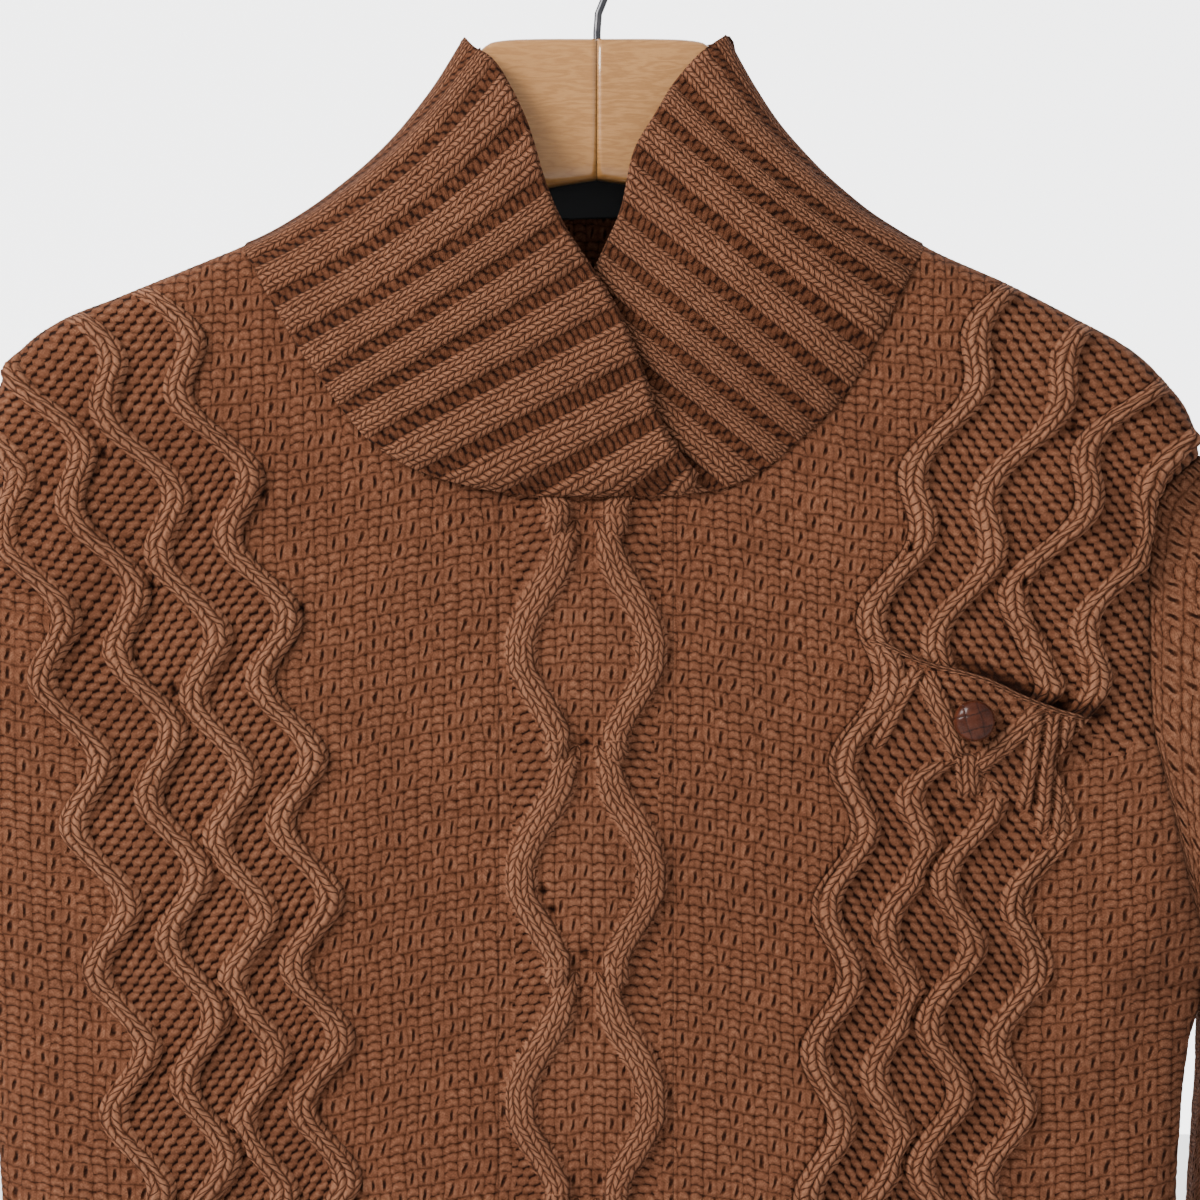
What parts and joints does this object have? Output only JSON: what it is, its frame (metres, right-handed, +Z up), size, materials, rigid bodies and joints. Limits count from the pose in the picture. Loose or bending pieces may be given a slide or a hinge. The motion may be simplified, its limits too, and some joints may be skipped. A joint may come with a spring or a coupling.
{
  "type": "shawl collar sweater on a wooden hanger",
  "caption": "Cable-knit sweater with a wide ribbed shawl collar lapped at the front and a buttoned chest pocket, hung on a contoured wooden hanger with a wire hook.",
  "frame": {"origin": "the point inside the top of the hook's bend, where it bears on a rail", "axes": "+Z up, -Y towards the front of the sweater, +X towards the wearer's left"},
  "size_m": [0.716, 0.0906, 0.8152],
  "materials": {
    "knit": "matt chestnut-brown wool, hand-knit",
    "maple": "clear gloss varnish",
    "steel": "dark plated wire, satin",
    "leather": "woven dark brown leather, polished",
    "label": "black woven, matt"
  },
  "bodies": {
    "root": {"front": "knit", "back": "knit", "hem_front": "knit", "hem_back": "knit", "sleeve_left": "knit", "sleeve_right": "knit", "cuff_left": "knit", "cuff_right": "knit", "collar": "knit", "pocket": "knit", "pocket_button": "leather", "neck_label": "label", "hanger_left": "maple", "hanger_right": "maple", "hook": "steel"}
  },
  "joints": []
}
